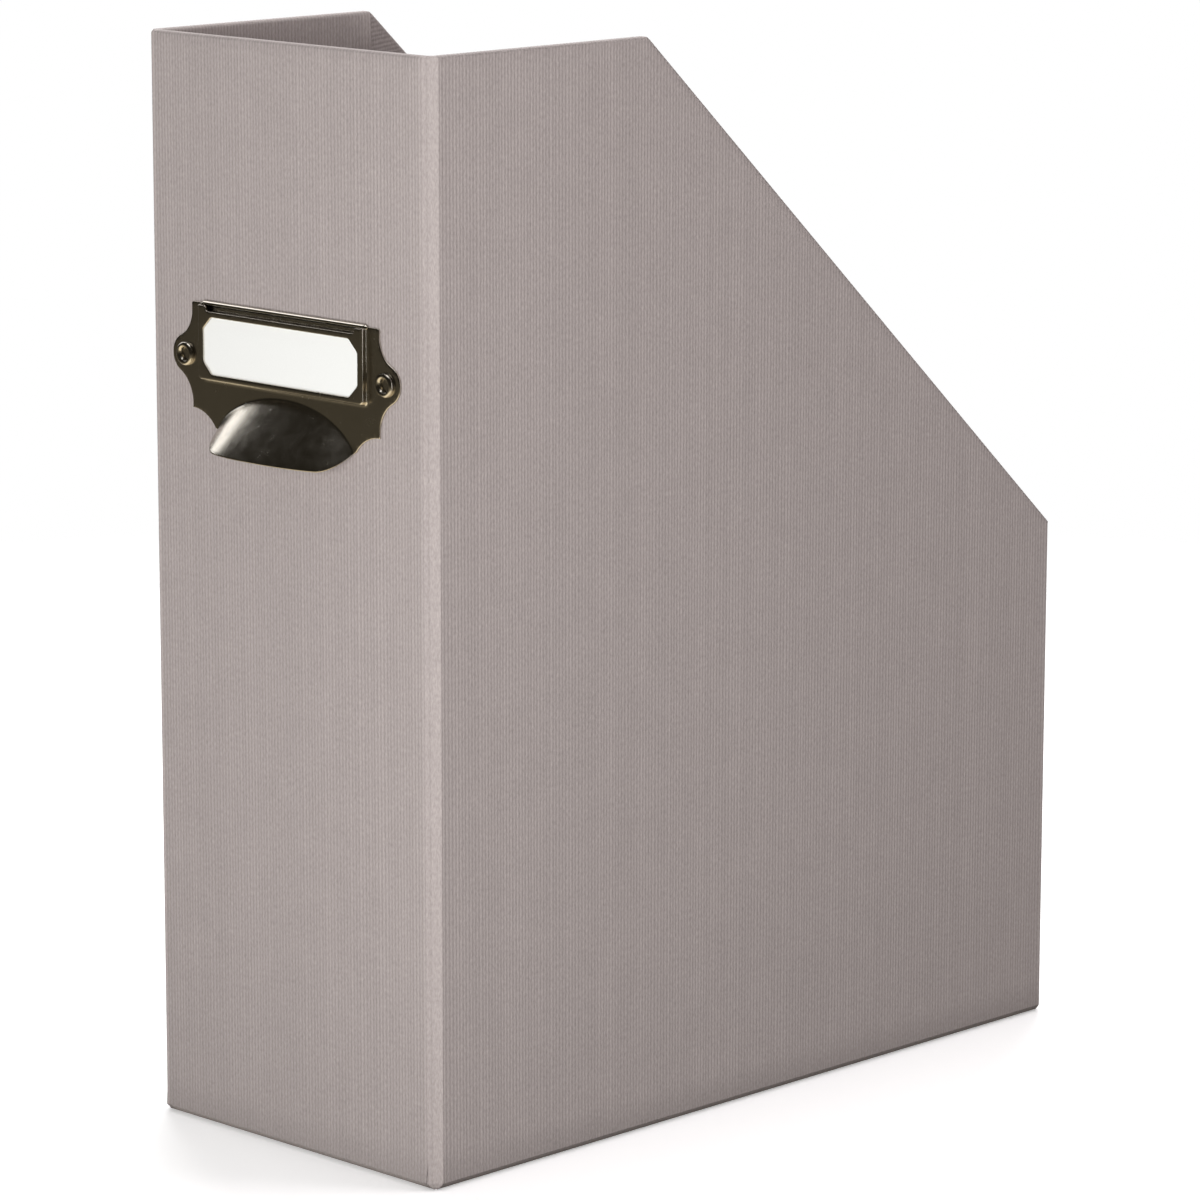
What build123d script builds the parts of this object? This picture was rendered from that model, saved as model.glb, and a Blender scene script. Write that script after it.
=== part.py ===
from build123d import *
import math
import os

os.makedirs("parts", exist_ok=True)

# A paper-covered greyboard magazine file with a stamped metal label holder.
# Millimetres. +Z is up, the label holder faces -Y, and the origin is the middle
# of the face that the file stands on.

# Whole file, over its cover
WIDTH = 116.0
DEPTH = 264.0
HEIGHT = 315.0
TOP_LENGTH = 84.0  # level top of each side, before the slant starts
BACK_HEIGHT = 153.0

# Sheet thicknesses
BOARD = 3.0
COVER = 0.4
TURN_IN = 0.3  # the cover where it is pressed flat inside the open edges
LINING = 0.4
BASE_PAPER = 0.3
STAY = 0.15

# Margins of the sheets
TURN_IN_WIDTH = 18.0
LINING_SETBACK = 14.0
UNDER_MARGIN = 15.0
BASE_PAPER_SETBACK = 2.0
STAY_LEG = 10.0
STAY_END_GAP = 5.0

# Label holder: its back plate
PLATE = 0.8
PLATE_TOP = 240.2
PLATE_BOTTOM = 204.9
PLATE_HALF_WIDTH = 38.3
EAR_RADIUS = 5.7
NECK_RADIUS = 8.0
WAIST_RADIUS = 10.0
SCALLOP_RADIUS = 11.5
SCALLOP_DROP = 6.0  # from the plate's lower corner down to the scallop's centre

# Raised frame: a pocket in front of the plate, with a dip in its top edge and a window
FRAME_HALF_WIDTH = 33.6
FRAME_BOTTOM = 218.8
FRAME_TOP = 239.8
FRAME_RISE = 2.0
FRAME_WALL = 0.8
DIP_HALF_WIDTH = 30.3
DIP_BOTTOM = 238.2
WINDOW_HALF_WIDTH = 31.6
WINDOW_BOTTOM = 220.5
WINDOW_TOP = 236.6
WINDOW_CORNER = 3.5

# Bead rolled along the plate's top edge, behind the pocket's mouth
BEAD_RADIUS = 0.65
BEAD_HALF_LENGTH = 33.0
BEAD_TOP = 240.9
BEAD_STANDOFF = 0.05

# Cup pull: the upper half of an ellipsoid, with its lower corners rounded off
CUP_BOTTOM = 199.7
CUP_HALF_WIDTH = 27.8
CUP_CORNER_RADIUS = 5.2
CUP_REACH = (28.6, 12.0, 16.4)  # half the ellipsoid's width, how far it stands proud, its height

# Rivets and their washers
RIVET_SPACING = 81.6
RIVET_Z = 225.0
RIVET_HOLE_RADIUS = 1.9
RIVET_SHANK_RADIUS = 1.8
RIVET_BORE_RADIUS = 1.25
RIVET_HEAD_RADIUS = 3.4
RIVET_CREST_RADIUS = 2.6
RIVET_HEAD_RISE = 1.3
RIVET_TAIL_RADIUS = 2.9
RIVET_TAIL = 0.7
WASHER_RADIUS = 4.5
WASHER = 0.5

# Label card, loose in the pocket
CARD = 0.4
CARD_HALF_WIDTH = 32.4
CARD_HEIGHT = 17.9
CARD_CORNER_RADIUS = 0.8
CARD_STANDOFF = 1.5
CARD_PLAY = 0.1

SPARE = 10.0  # how far a cutting shape runs past what it cuts

# Faces of the boards, which stand one cover thickness inside the file's outline
HALF_DEPTH = DEPTH / 2
BOARD_X = WIDTH / 2 - COVER
BOARD_Y = HALF_DEPTH - COVER
BOARD_BOTTOM = BASE_PAPER + COVER
BOARD_TOP = HEIGHT - COVER
BACK_TOP = BACK_HEIGHT - COVER
INNER_X = BOARD_X - BOARD
INNER_Y = BOARD_Y - BOARD
FLOOR = BOARD_BOTTOM + BOARD

# Slant of the sides: its fall per unit of depth, and its length per unit of depth
SLANT_RATE = (HEIGHT - BACK_HEIGHT) / (DEPTH - TOP_LENGTH)
SLANT_STRETCH = math.hypot(1, SLANT_RATE)

# Tangent of 22.5 degrees, for sheets that turn through 45 degrees
MITRE = math.sqrt(2) - 1

# Front of the cover; its offset is the distance that a piece stands proud
FRONT = Plane(origin=(0, -HALF_DEPTH, 0), x_dir=(1, 0, 0), z_dir=(0, -1, 0))

SIDES = {"left": -1, "right": 1}
ENDS = {"front": -1, "back": 1}
ON_FOOT = (Align.CENTER, Align.MIN)


def write(part, label):
    """Name a finished piece and write its STEP file."""
    part.label = label
    export_step(part, f"parts/{label}.step")


def slant_z(y, inset):
    """Height of the slant at depth y, when the open edges are moved in by inset."""
    return BACK_HEIGHT + (HALF_DEPTH - y) * SLANT_RATE - inset * SLANT_STRETCH


def slant_y(z, inset):
    """Depth of the slant at height z, when the open edges are moved in by inset."""
    return HALF_DEPTH - (z - BACK_HEIGHT + inset * SLANT_STRETCH) / SLANT_RATE


def side_outline(inset, half_depth, bottom):
    """Outline of a side in the Y-Z plane, with its open edges moved in by inset."""
    top = HEIGHT - inset
    with BuildSketch(Plane.YZ) as outline:
        with BuildLine():
            Polyline(
                (-half_depth, bottom),
                (half_depth, bottom),
                (half_depth, slant_z(half_depth, inset)),
                (slant_y(top, inset), top),
                (-half_depth, top),
                close=True,
            )
        make_face()
    return outline.sketch_local


def side_sheet(outline, inner_x, thickness, side):
    """Upright sheet with the outline of a side; inner_x is its face towards the file's middle."""
    with BuildPart() as sheet:
        with BuildSketch(Plane.YZ.offset(side * inner_x)):
            add(outline)
        extrude(amount=side * thickness)
    return sheet.part


def cross_sheet(front_y, thickness, half_width, bottom, top):
    """Upright sheet across the file; front_y is its face towards the label holder."""
    with BuildPart() as sheet:
        with BuildSketch(Plane.XZ.offset(-front_y)):
            with Locations((0, bottom)):
                Rectangle(2 * half_width, top - bottom, align=ON_FOOT)
        extrude(amount=-thickness)
    return sheet.part


def level_sheet(bottom, thickness, half_width, half_depth):
    """Level sheet centred on the file."""
    with BuildPart() as sheet:
        with BuildSketch(Plane.XY.offset(bottom)):
            Rectangle(2 * half_width, 2 * half_depth)
        extrude(amount=thickness)
    return sheet.part


def bevelled_block(outset, notch_inset):
    """Solid block over the boards' outer faces, grown by outset.

    Two boards meet only at their inner corners, so each edge between them is a flat
    45 degree bevel. Between the sides, the back's top edge is level.
    """
    bevel = BOARD + (1 - MITRE) * outset
    notch_y = INNER_Y - notch_inset
    with BuildPart() as block:
        with BuildSketch(Plane.XY.offset(BOARD_BOTTOM - outset)):
            Rectangle(2 * (BOARD_X + outset), 2 * (BOARD_Y + outset))
        extrude(amount=HEIGHT + SPARE)
        bottom_edges = block.faces().sort_by(Axis.Z)[0].edges()
        chamfer(block.edges().filter_by(Axis.Z) + bottom_edges, length=bevel)
        with BuildSketch(Plane.YZ):
            add(side_outline(COVER - outset, HALF_DEPTH + SPARE, -SPARE))
        extrude(amount=WIDTH, both=True, mode=Mode.INTERSECT)
        with BuildSketch(Plane.XY.offset(BACK_TOP + outset)):
            with Locations((0, notch_y)):
                Rectangle(2 * (INNER_X - notch_inset), BOARD + SPARE, align=ON_FOOT)
        extrude(amount=HEIGHT, mode=Mode.SUBTRACT)
    return block.part


def folded_stay(plane, corner, inward, length):
    """Gummed stay folded round a bevelled edge.

    Its section is drawn on the plane, round the point where the boards' outer faces
    would meet; inward gives the way into the file along each axis of the plane.
    """
    u, v = corner
    du, dv = inward
    reach = BOARD + STAY_LEG
    turn = BOARD - MITRE * STAY
    with BuildPart() as stay:
        with BuildSketch(plane):
            with BuildLine():
                Polyline(
                    (u, v + dv * reach),
                    (u, v + dv * BOARD),
                    (u + du * BOARD, v),
                    (u + du * reach, v),
                    (u + du * reach, v - dv * STAY),
                    (u + du * turn, v - dv * STAY),
                    (u - du * STAY, v + dv * turn),
                    (u - du * STAY, v + dv * reach),
                    close=True,
                )
            make_face()
        extrude(amount=length)
    return stay.part


# Holes for the rivets, through the plate and the whole front wall

rivet_points = [(-RIVET_SPACING / 2, RIVET_Z), (RIVET_SPACING / 2, RIVET_Z)]

with BuildPart() as rivet_holes:
    with BuildSketch(FRONT.offset(SPARE)):
        with Locations(*rivet_points):
            Circle(RIVET_HOLE_RADIUS)
    extrude(amount=-2 * SPARE)


# Boards

with BuildPart() as front_board:
    add(cross_sheet(-BOARD_Y, BOARD, INNER_X, FLOOR, BOARD_TOP))
    add(rivet_holes.part, mode=Mode.SUBTRACT)
write(front_board.part, "front_board")

write(cross_sheet(INNER_Y, BOARD, INNER_X, FLOOR, BACK_TOP), "back_board")

for side_name, side in SIDES.items():
    side_board = side_sheet(side_outline(COVER, INNER_Y, FLOOR), INNER_X, BOARD, side)
    write(side_board, f"{side_name}_side_board")

write(level_sheet(BOARD_BOTTOM, BOARD, INNER_X, INNER_Y), "base_board")


# Stays: gummed strips folded round the upright corners and the bottom edges

stays = {}

upright_bottom = FLOOR + STAY_LEG + STAY_END_GAP
for end_name, end in ENDS.items():
    board_top = BOARD_TOP if end_name == "front" else BACK_TOP
    for side_name, side in SIDES.items():
        stays[f"corner_stay_{end_name}_{side_name}"] = folded_stay(
            Plane.XY.offset(upright_bottom),
            (side * BOARD_X, end * BOARD_Y),
            (-side, -end),
            board_top - STAY_END_GAP - upright_bottom,
        )

cross_half = INNER_X - STAY_LEG - STAY_END_GAP
for end_name, end in ENDS.items():
    stays[f"base_stay_{end_name}"] = folded_stay(
        Plane.YZ.offset(-cross_half),
        (end * BOARD_Y, BOARD_BOTTOM),
        (-end, 1),
        2 * cross_half,
    )

long_half = INNER_Y - STAY_LEG - STAY_END_GAP
for side_name, side in SIDES.items():
    stays[f"base_stay_{side_name}"] = folded_stay(
        Plane.XZ.offset(-long_half),
        (side * BOARD_X, BOARD_BOTTOM),
        (-side, 1),
        2 * long_half,
    )

for stay_name, stay in stays.items():
    write(stay, stay_name)


# Cover: one skin round the boards and stays, turned in over the open edges and under the base

turned_side = side_outline(COVER, INNER_Y, FLOOR) - side_outline(
    COVER + TURN_IN_WIDTH, INNER_Y + SPARE, 0
)

with BuildPart() as cover_sheet:
    add(bevelled_block(COVER, TURN_IN))
    add(bevelled_block(0, 0), mode=Mode.SUBTRACT)
    with BuildSketch(Plane.XY.offset(BACK_HEIGHT / 2)):
        Rectangle(2 * (INNER_X - TURN_IN), 2 * (INNER_Y - TURN_IN))
    extrude(amount=HEIGHT, mode=Mode.SUBTRACT)
    with BuildSketch(Plane.XY):
        Rectangle(2 * (INNER_X - UNDER_MARGIN), 2 * (INNER_Y - UNDER_MARGIN))
    extrude(amount=BOARD_BOTTOM, mode=Mode.SUBTRACT)
    for side in SIDES.values():
        add(side_sheet(turned_side, INNER_X - TURN_IN, TURN_IN, side))
    add(cross_sheet(-INNER_Y, TURN_IN, INNER_X, BOARD_TOP - TURN_IN_WIDTH, BOARD_TOP))
    add(
        cross_sheet(
            INNER_Y - TURN_IN, TURN_IN, INNER_X - TURN_IN, BACK_TOP - TURN_IN_WIDTH, BACK_HEIGHT
        )
    )
    for stay in stays.values():
        add(stay, mode=Mode.SUBTRACT)
    add(rivet_holes.part, mode=Mode.SUBTRACT)
write(cover_sheet.part, "cover_sheet")


# Base paper: laps the cover's turned-under margin, and is thicker where it fills the middle

with BuildPart() as base_cover:
    add(
        level_sheet(0, BASE_PAPER, INNER_X - BASE_PAPER_SETBACK, INNER_Y - BASE_PAPER_SETBACK)
    )
    add(level_sheet(BASE_PAPER, COVER, INNER_X - UNDER_MARGIN, INNER_Y - UNDER_MARGIN))
write(base_cover.part, "base_cover")


# Linings: each lies on its board, and steps over the cover's turned-in band

BAND_FOOT = COVER + TURN_IN_WIDTH
LINING_TOP = COVER + LINING_SETBACK
lining_half_width = INNER_X - TURN_IN - LINING

with BuildPart() as lining_front:
    add(cross_sheet(-INNER_Y, LINING, lining_half_width, FLOOR, HEIGHT - BAND_FOOT))
    add(
        cross_sheet(
            -INNER_Y + TURN_IN,
            LINING,
            lining_half_width,
            HEIGHT - BAND_FOOT - LINING,
            HEIGHT - LINING_TOP,
        )
    )
    add(rivet_holes.part, mode=Mode.SUBTRACT)
write(lining_front.part, "lining_front")

with BuildPart() as lining_back:
    add(
        cross_sheet(
            INNER_Y - LINING, LINING, lining_half_width, FLOOR, BACK_HEIGHT - BAND_FOOT
        )
    )
    add(
        cross_sheet(
            INNER_Y - TURN_IN - LINING,
            LINING,
            lining_half_width,
            BACK_HEIGHT - BAND_FOOT - LINING,
            BACK_HEIGHT - LINING_TOP,
        )
    )
write(lining_back.part, "lining_back")

lap_outline = side_outline(LINING_TOP, INNER_Y - TURN_IN, FLOOR) - side_outline(
    BAND_FOOT + LINING, INNER_Y + SPARE, 0
)
for side_name, side in SIDES.items():
    with BuildPart() as side_lining:
        add(side_sheet(side_outline(BAND_FOOT, INNER_Y, FLOOR), INNER_X - LINING, LINING, side))
        add(side_sheet(lap_outline, INNER_X - TURN_IN - LINING, LINING, side))
    write(side_lining.part, f"lining_{side_name}")

write(level_sheet(FLOOR, LINING, INNER_X - LINING, INNER_Y - LINING), "lining_base")


# Label holder: a pressed plate with its cup pull, raised frame and bead in one piece


def cup_dome(thinning):
    """Ellipsoid that shapes the cup, reduced by thinning."""
    with BuildPart() as dome:
        Sphere(1)
        scale(by=tuple(reach - thinning for reach in CUP_REACH))
    return dome.part.moved(Location((0, -HALF_DEPTH, CUP_BOTTOM)))


with BuildPart() as cup_block:
    with BuildSketch(FRONT) as cup_front:
        with Locations((0, CUP_BOTTOM)):
            Rectangle(2 * CUP_HALF_WIDTH, 2 * SPARE, align=ON_FOOT)
        fillet(cup_front.vertices().group_by(Axis.Y)[0], radius=CUP_CORNER_RADIUS)
    extrude(amount=2 * SPARE)
    add(cup_dome(0), mode=Mode.INTERSECT)

with BuildPart() as label_holder:
    with BuildSketch(FRONT) as plate_front:
        with Locations((0, PLATE_BOTTOM)):
            Rectangle(2 * PLATE_HALF_WIDTH, PLATE_TOP - PLATE_BOTTOM, align=ON_FOOT)
        with Locations(*rivet_points):
            Circle(EAR_RADIUS)
        ear_top = RIVET_Z + EAR_RADIUS
        ear_foot = RIVET_Z - EAR_RADIUS
        open_ends = (False, False)
        necks = plate_front.vertices().filter_by_position(Axis.Y, RIVET_Z, ear_top, open_ends)
        fillet(necks, radius=NECK_RADIUS)
        waists = plate_front.vertices().filter_by_position(Axis.Y, ear_foot, RIVET_Z, open_ends)
        fillet(waists, radius=WAIST_RADIUS)
        scallop_z = PLATE_BOTTOM - SCALLOP_DROP
        with Locations((-PLATE_HALF_WIDTH, scallop_z), (PLATE_HALF_WIDTH, scallop_z)):
            Circle(SCALLOP_RADIUS, mode=Mode.SUBTRACT)
    extrude(amount=PLATE)
    add(cup_block.part)
    add(cup_dome(PLATE), mode=Mode.SUBTRACT)
    # frame, open at its top so that the card drops in
    with BuildSketch(FRONT.offset(PLATE)):
        with Locations((0, FRAME_BOTTOM)):
            Rectangle(2 * FRAME_HALF_WIDTH, FRAME_TOP - FRAME_BOTTOM, align=ON_FOOT)
        with Locations((0, DIP_BOTTOM)):
            Rectangle(2 * DIP_HALF_WIDTH, SPARE, align=ON_FOOT, mode=Mode.SUBTRACT)
    extrude(amount=FRAME_RISE)
    with BuildSketch(FRONT.offset(PLATE)):
        with Locations((0, FRAME_BOTTOM + FRAME_WALL)):
            Rectangle(2 * (FRAME_HALF_WIDTH - FRAME_WALL), FRAME_TOP - FRAME_BOTTOM, align=ON_FOOT)
    extrude(amount=FRAME_RISE - FRAME_WALL, mode=Mode.SUBTRACT)
    with BuildSketch(FRONT.offset(PLATE)) as window:
        with Locations((0, WINDOW_BOTTOM)):
            Rectangle(2 * WINDOW_HALF_WIDTH, WINDOW_TOP - WINDOW_BOTTOM, align=ON_FOOT)
        chamfer(window.vertices(), length=WINDOW_CORNER)
    extrude(amount=SPARE, mode=Mode.SUBTRACT)
    bead_y = -HALF_DEPTH - BEAD_STANDOFF - BEAD_RADIUS
    with BuildSketch(Plane.YZ.offset(-BEAD_HALF_LENGTH)):
        with Locations((bead_y, BEAD_TOP - BEAD_RADIUS)):
            Circle(BEAD_RADIUS)
    extrude(amount=2 * BEAD_HALF_LENGTH)
    add(rivet_holes.part, mode=Mode.SUBTRACT)
write(label_holder.part, "label_holder")


# Rivets: hollow, with a flared head on the plate and a clinched tail on the washer

wall_depth = COVER + BOARD + LINING
washer_back = wall_depth + WASHER
tail_end = washer_back + RIVET_TAIL

for side_name, side in SIDES.items():
    rivet_start = (side * RIVET_SPACING / 2, -HALF_DEPTH, RIVET_Z)
    with BuildPart() as rivet:
        # profile: x is the radius, y the distance in front of the cover
        with BuildSketch(Plane(origin=rivet_start, x_dir=(1, 0, 0), z_dir=(0, 0, -1))):
            with BuildLine():
                head_rim = (RIVET_HEAD_RADIUS, PLATE)
                crest = (RIVET_CREST_RADIUS, PLATE + RIVET_HEAD_RISE)
                TangentArc(head_rim, crest, tangent=(0, 1))
                Polyline(
                    crest,
                    (RIVET_BORE_RADIUS, PLATE),
                    (RIVET_BORE_RADIUS, -tail_end),
                    (RIVET_TAIL_RADIUS, -tail_end),
                    (RIVET_TAIL_RADIUS, -washer_back),
                    (RIVET_SHANK_RADIUS, -washer_back),
                    (RIVET_SHANK_RADIUS, PLATE),
                    head_rim,
                )
            make_face()
        revolve(axis=Axis(rivet_start, (0, 1, 0)))
    write(rivet.part, f"rivet_{side_name}")

    with BuildPart() as washer:
        with BuildSketch(FRONT.offset(-washer_back)):
            with Locations((side * RIVET_SPACING / 2, RIVET_Z)):
                Circle(WASHER_RADIUS)
                Circle(RIVET_HOLE_RADIUS, mode=Mode.SUBTRACT)
        extrude(amount=WASHER)
    write(washer.part, f"rivet_washer_{side_name}")


# Label card, which slides up out of the pocket

with BuildPart() as label_card:
    with BuildSketch(FRONT.offset(CARD_STANDOFF)) as card_front:
        with Locations((0, FRAME_BOTTOM + FRAME_WALL + CARD_PLAY)):
            Rectangle(2 * CARD_HALF_WIDTH, CARD_HEIGHT, align=ON_FOOT)
        fillet(card_front.vertices(), radius=CARD_CORNER_RADIUS)
    extrude(amount=CARD)
write(label_card.part, "label_card")
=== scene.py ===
import math
import random

import bpy
import numpy as np
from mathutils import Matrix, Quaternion, Vector
from mathutils.geometry import delaunay_2d_cdt

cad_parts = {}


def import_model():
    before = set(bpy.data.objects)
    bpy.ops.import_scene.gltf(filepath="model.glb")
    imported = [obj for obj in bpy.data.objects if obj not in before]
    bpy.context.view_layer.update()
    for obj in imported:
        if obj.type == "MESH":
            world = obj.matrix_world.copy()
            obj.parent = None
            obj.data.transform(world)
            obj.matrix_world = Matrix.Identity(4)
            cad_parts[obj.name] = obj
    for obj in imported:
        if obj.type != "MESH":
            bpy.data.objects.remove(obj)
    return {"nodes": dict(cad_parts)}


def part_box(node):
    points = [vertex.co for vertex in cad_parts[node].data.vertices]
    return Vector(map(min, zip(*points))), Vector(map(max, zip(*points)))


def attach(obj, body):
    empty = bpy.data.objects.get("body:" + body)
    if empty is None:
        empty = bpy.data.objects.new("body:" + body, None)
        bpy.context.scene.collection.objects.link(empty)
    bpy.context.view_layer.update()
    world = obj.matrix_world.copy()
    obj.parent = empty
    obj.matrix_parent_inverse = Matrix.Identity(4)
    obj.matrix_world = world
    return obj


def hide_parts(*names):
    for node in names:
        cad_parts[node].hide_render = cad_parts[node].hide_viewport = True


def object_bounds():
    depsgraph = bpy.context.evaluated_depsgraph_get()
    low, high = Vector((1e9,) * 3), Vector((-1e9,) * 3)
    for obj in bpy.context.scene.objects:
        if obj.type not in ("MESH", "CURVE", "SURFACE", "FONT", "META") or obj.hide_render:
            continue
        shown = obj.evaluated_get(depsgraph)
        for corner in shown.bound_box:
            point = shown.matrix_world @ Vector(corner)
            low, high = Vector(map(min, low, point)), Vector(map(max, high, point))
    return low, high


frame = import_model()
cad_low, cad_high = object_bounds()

random.seed(7)
MM = 0.001
TOUCH = 0.01  # two places closer than this are the same place

# --- Measures read from the frame


def box_mm(node):
    """Lowest and highest corner of a CAD node, in millimetres."""
    low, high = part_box(node)
    return np.array(low) / MM, np.array(high) / MM


side_low, side_high = box_mm("right_side_board")
back_high = box_mm("back_board")[1]
cover_low, cover_high = box_mm("cover_sheet")
plate_low, plate_high = box_mm("label_holder")
card_low, card_high = box_mm("label_card")

HALF_WIDTH = cover_high[0]
HALF_DEPTH = cover_high[1]
TOP = cover_high[2]
UNDER = cover_low[2]
COVER = HALF_WIDTH - side_high[0]
BOARD = side_high[0] - side_low[0]
INNER_X = side_low[0]
INNER_Y = side_high[1]
FLOOR = side_low[2]
BACK_TOP = back_high[2] + COVER

board_points = np.array([v.co for v in frame["nodes"]["right_side_board"].data.vertices]) / MM
level_end = board_points[board_points[:, 2] > side_high[2] - TOUCH][:, 1].max()
slant_end = board_points[board_points[:, 1] > side_high[1] - TOUCH][:, 2].max()
SLANT_RATE = (side_high[2] - slant_end) / (side_high[1] - level_end)
SLANT_STRETCH = math.hypot(1, SLANT_RATE)
SLANT_OUT = np.array([SLANT_RATE, 1]) / SLANT_STRETCH  # across the slant, as (y, z)

# --- Measures of the paper work

PAPER = 0.3
TURN_IN = 0.3
TURN_IN_WIDTH = 18.0
LINING = 0.4
LINING_SETBACK = 14.0  # from the open edge's board down to the lining's end
UNDER_MARGIN = 15.0  # how far the cover is turned in under the base
BEVEL = BOARD + (2 - math.sqrt(2)) * COVER  # leg of the flat bevel along each board joint
FOOT = 1.8  # leg of the small bevel round the bottom
FOLD = 0.85  # radius of the folds over the open edges
RIB_PITCH = 1.25
RIB_DEPTH = 0.09
WALL = HALF_WIDTH - INNER_X + TURN_IN
OVERLAP = 4.0  # how far the slant's turn-in runs under the level one
CORNER_EASE = 0.8  # length over which the fold turns into the slant
CORNER_DROP = 0.15
BACK_FADE = 2.5  # length before the back corner over which the slant's fold stops leaning outwards
BELOW_FOLD = 3.0  # from a fold down to the next row of the wall
FLAP_LIFT = 0.25  # how far the level turn-in is raised where it crosses the slant's
LIFT_LENGTH = 12
PANEL_GAP = 0.3  # from the last rib to the bevel strip
SIDE_SQUEEZE = 0.85  # how far a wall's last inner columns are drawn in, to meet at the inner corner
CROSS_SQUEEZE = 0.75
STRIP_TAPER = 0.35
INNER_ROUND = 0.5
PLAIN_SINK = 0.3  # how deep a bevel strip lies, as a share of the ribs' depth
SOFT_EDGE = 1.6  # how far the strip's lighter tone, partly burnish and partly painted light, fades into the front
# lighter tone, burnish and painted light, that the front takes on beside the strip
SOFT_BURNISH_AND_PAINTED_LIGHT = 0.45


def slant_z(y, inset=0.0):
    """Height of the open edge at depth y, moved in by inset."""
    slant = BACK_TOP + (HALF_DEPTH - y) * SLANT_RATE - inset * SLANT_STRETCH
    return np.minimum(TOP - inset, slant)


SLANT_START = HALF_DEPTH - (TOP - BACK_TOP) / SLANT_RATE


# --- Mesh helpers


def new_piece(name, points, faces, material, slot, node, body="file", **weights):
    """Mesh piece from millimetre points, in the place of one CAD node; weights are for its material."""
    mesh = bpy.data.meshes.new(name)
    mesh.from_pydata((np.asarray(points, float) * MM).tolist(), [], [list(map(int, f)) for f in faces])
    for key, values in weights.items():
        attribute = mesh.attributes.new(key, "FLOAT", "POINT")
        attribute.data.foreach_set("value", np.asarray(values, np.float32).ravel())
    mesh.validate()
    mesh.polygons.foreach_set("use_smooth", [True] * len(mesh.polygons))
    mesh.materials.append(material)
    piece = bpy.data.objects.new(name, mesh)
    bpy.context.scene.collection.objects.link(piece)
    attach(piece, body)
    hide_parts(node)
    return piece


def paper_piece(name, points, faces, material, node, thickness, rib, tone=None):
    """Sheet of ribbed paper, its thickness behind the drawn face, with its rib and tone at each point; the
    tone is painted light and shade, and burnish on the bevel strips.
    """
    tone = np.zeros(len(points)) if tone is None else tone
    piece = new_piece(name, points, faces, material, "ribbed_paper", node, rib=rib, tone=tone)
    solid = piece.modifiers.new("thickness", "SOLIDIFY")
    solid.thickness = thickness * MM
    solid.offset = -1
    solid.use_even_offset = False


def grid_faces(rows, columns, closed=False, skip=()):
    """Quads of a grid stored row by row; skip holds (column, first row) pairs left open above."""
    faces = []
    open_from = dict(skip)
    for j in range(columns if closed else columns - 1):
        right = (j + 1) % columns
        for i in range(min(rows - 1, open_from.get(j, rows))):
            low, high = i * columns, (i + 1) * columns
            faces.append((low + j, low + right, high + right, high + j))
    return faces


def ring_faces(rings, segments, closed=False):
    """Quads between rings of points; the last ring is joined to the first, or else both are capped."""
    faces = []
    for i in range(rings if closed else rings - 1):
        low, high = i * segments, (i + 1) % rings * segments
        for j in range(segments):
            k = (j + 1) % segments
            faces.append((low + j, low + k, high + k, high + j))
    if not closed:
        last = (rings - 1) * segments
        faces.append(tuple(range(segments - 1, -1, -1)))
        faces.append(tuple(range(last, last + segments)))
    return faces


def lathe(profile, centre, segments=64):
    """Points and faces of a closed profile of (radius, proud) turned about a line along Y."""
    angles = np.arange(segments) * 2 * math.pi / segments
    x, y, z = centre
    points = [(x + r * math.cos(a), y - p, z + r * math.sin(a)) for r, p in profile for a in angles]
    return points, ring_faces(len(profile), segments, closed=True)


def arc(centre, radius, start, end, steps):
    """Points on a circle from start to end, in degrees."""
    angles = np.radians(np.linspace(start, end, steps + 1))
    return [(centre[0] + radius * math.cos(a), centre[1] + radius * math.sin(a)) for a in angles]


# --- Ribs


def rib_columns(half):
    """Places across a panel from -half to half, and the crest weight at each."""
    count = round(2 * half / RIB_PITCH)
    widths = np.array([1 + random.uniform(-0.12, 0.12) for _ in range(count)])
    edges = np.concatenate([[0], np.cumsum(widths)])
    edges = edges / edges[-1] * 2 * half - half
    places, crests = [], []
    for left, right in zip(edges[:-1], edges[1:]):
        height = random.uniform(0.75, 1.0)
        for share, crest in ((0, 0), (0.25, 0.6), (0.5, 1), (0.75, 0.6)):
            places.append(left + share * (right - left))
            crests.append(crest * height)
    return np.array(places + [half]), np.array(crests + [0])


# --- The cover: one sheet round the boards


def turned_section(wall):
    """Path over an open edge as (inward, up) from the outer face's top, with a radius at each side."""
    r = min(FOLD, 0.45 * wall)
    steps = np.radians([0, 30, 60, 90])
    rise = [(r - r * math.cos(a), -r + r * math.sin(a)) for a in steps]
    fall = [(wall - r + r * math.sin(a), -r + r * math.cos(a)) for a in steps]
    return r, rise + [(wall / 2, 0)] + fall


# rows of the grid: inward and up from the outer bottom corner, with the rib's strength on each
FOOT_ROWS = [
    (BOARD + COVER + UNDER_MARGIN, 0, 0),
    (BEVEL + 0.4, 0, 0),
    (FOOT - 0.05, 0.05, 0),
    (FOOT / 2, FOOT / 2, 0),
    (0.08, FOOT - 0.08, 0.15),
    (0, FOOT + 0.2, 0.5),
    (0, FOOT + 9.0, 1),
]
EDGE_STRENGTH = [0.9, 0.8, 0.6, 0.45, 0.35, 0.45, 0.6, 0.8, 0.9]
FLAP_STEPS = [0.02, 0.5, 1.0]
EDGE_ROW = len(FOOT_ROWS) + 1
INSIDE_ROW = EDGE_ROW + 7  # where the paper turns down inside
BEVEL_ROWS = slice(2, 5)  # the foot's bevel
STRENGTH = [row[2] for row in FOOT_ROWS] + [1] + EDGE_STRENGTH + [1] * len(FLAP_STEPS)
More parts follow.
